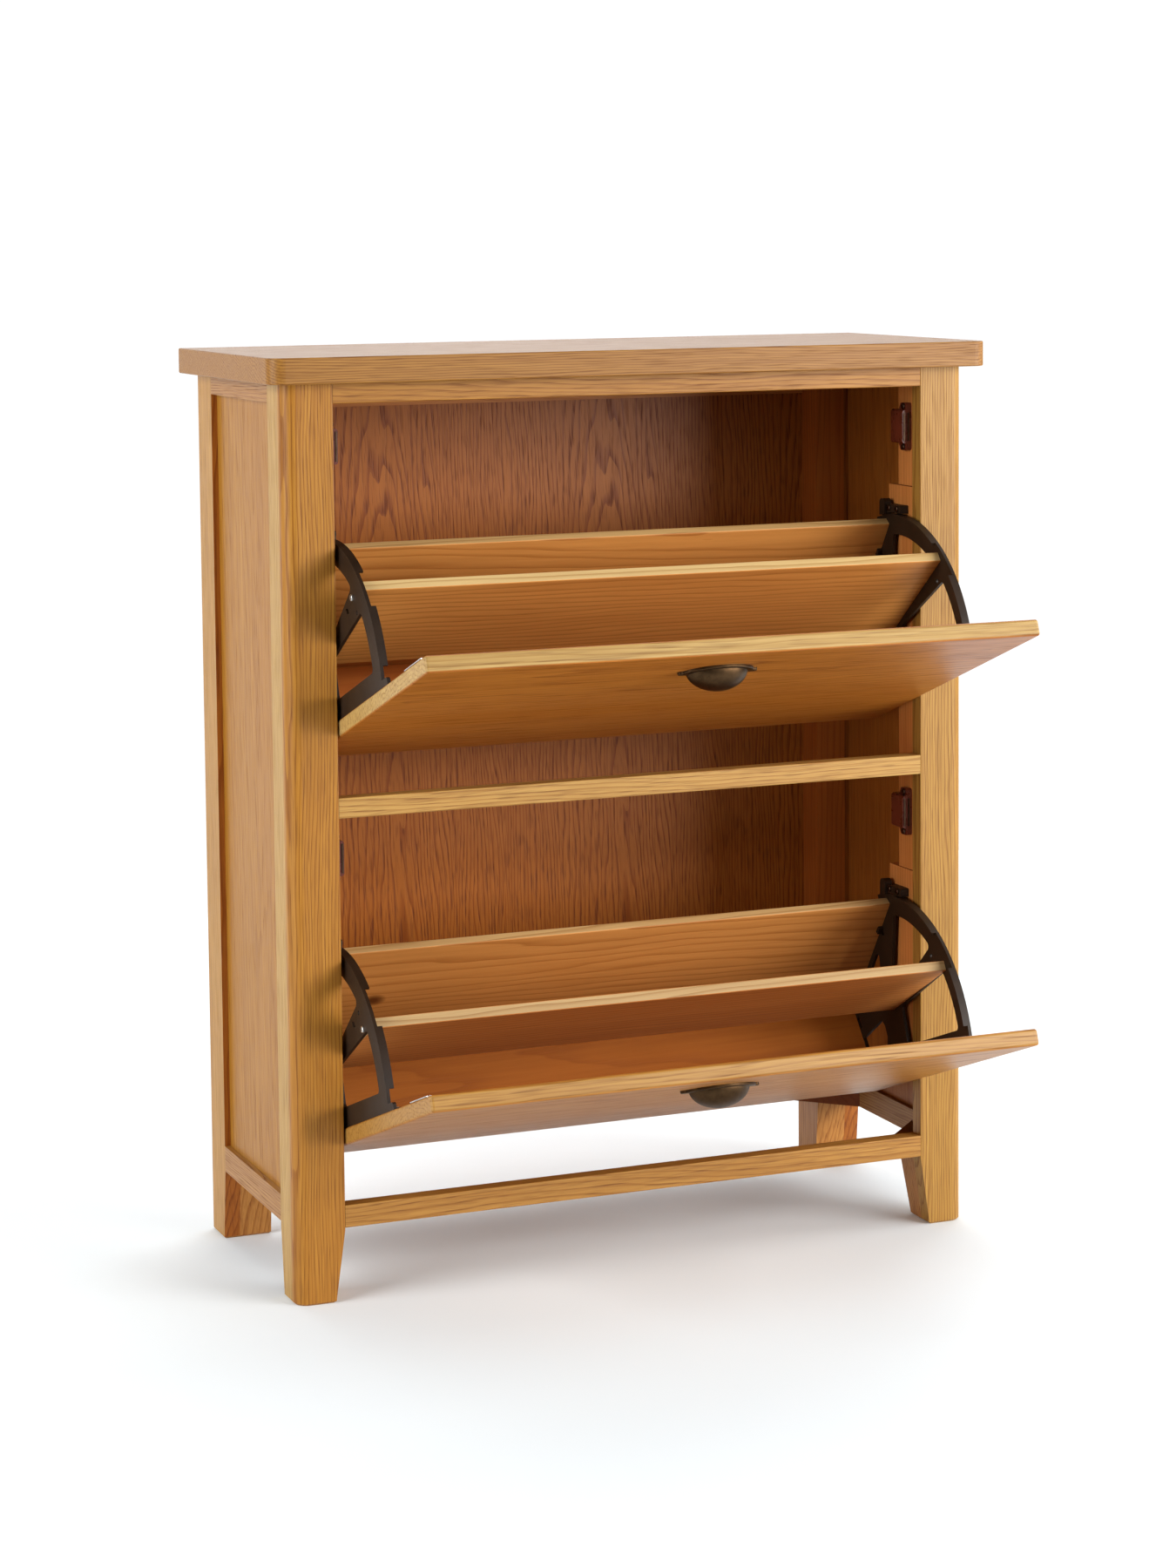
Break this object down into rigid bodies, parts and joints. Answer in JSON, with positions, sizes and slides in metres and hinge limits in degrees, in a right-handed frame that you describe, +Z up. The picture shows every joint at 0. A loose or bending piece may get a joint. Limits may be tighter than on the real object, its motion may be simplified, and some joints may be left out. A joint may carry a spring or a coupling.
{
  "type": "shoe cabinet",
  "caption": "Tall wooden shoe cabinet on tapered feet, with tilting front flaps that carry shoe pockets on swing brackets, cup pulls and magnetic catches.",
  "frame": {"origin": "on the floor at the middle of the four feet", "axes": "+X to the right seen from the front, -Y toward the front with the flaps, +Z up"},
  "size_m": [0.7944, 0.5691, 0.9565],
  "materials": {
    "oak": "satin lacquer on solid oak",
    "oak_veneer": "satin lacquer on straight-grained veneer",
    "pine": "thin lacquer on softwood",
    "brown_plastic": "glossy moulded plastic",
    "black_plastic": "satin moulded plastic",
    "bronze": "dark bronze",
    "steel": "zinc plated"
  },
  "bodies": {
    "carcass": {"top_board": "oak", "front_stile_left": "oak", "front_stile_right": "oak", "front_side_stile_left": "oak", "front_side_stile_right": "oak", "back_side_stile_left": "oak", "back_side_stile_right": "oak", "front_foot_block_left": "oak", "front_foot_block_right": "oak", "back_foot_block_left": "oak", "back_foot_block_right": "oak", "back_post_left": "pine", "back_post_right": "pine", "top_rail": "oak", "middle_rail": "oak", "bottom_rail": "oak", "side_top_rail_left": "oak", "side_top_rail_right": "oak", "side_bottom_rail_left": "oak", "side_bottom_rail_right": "oak", "side_panel_left": "oak_veneer", "side_panel_right": "oak_veneer", "back_panel": "oak_veneer", "back_top_rail": "pine", "back_bottom_rail": "pine", "corner_blocks": "pine", "catch_batten_upper_left": "pine", "catch_batten_upper_right": "pine", "catch_batten_lower_left": "pine", "catch_batten_lower_right": "pine", "hardware_board_upper_left": "pine", "hardware_board_upper_right": "pine", "hardware_board_lower_left": "pine", "hardware_board_lower_right": "pine", "magnetic_catches_upper": "brown_plastic", "magnetic_catches_lower": "brown_plastic", "catch_poles": "steel", "carcass_screws": "steel", "stop_clips_upper": "black_plastic", "stop_clips_lower": "black_plastic", "pivot_pins": "black_plastic"},
    "upper_pocket": {"flap_upper": "oak", "front_divider_upper": "pine", "back_divider_upper": "pine", "pocket_floor_upper": "pine", "swing_bracket_upper_left": "black_plastic", "swing_bracket_upper_right": "black_plastic", "cup_pull_upper": "bronze", "strike_plates_upper": "steel", "flap_screws_upper": "steel"},
    "lower_pocket": {"flap_lower": "oak", "front_divider_lower": "pine", "back_divider_lower": "pine", "pocket_floor_lower": "pine", "swing_bracket_lower_left": "black_plastic", "swing_bracket_lower_right": "black_plastic", "cup_pull_lower": "bronze", "strike_plates_lower": "steel", "flap_screws_lower": "steel"}
  },
  "joints": [
    {"name": "upper_flap_tilt", "type": "hinge", "parent": "carcass", "child": "upper_pocket", "pos_m": [0, -0.1145, 0.603], "axis": [-1, 0, 0], "range_deg": [0, 70]},
    {"name": "lower_flap_tilt", "type": "hinge", "parent": "carcass", "child": "lower_pocket", "pos_m": [0, -0.1145, 0.1875], "axis": [-1, 0, 0], "range_deg": [0, 70]}
  ]
}
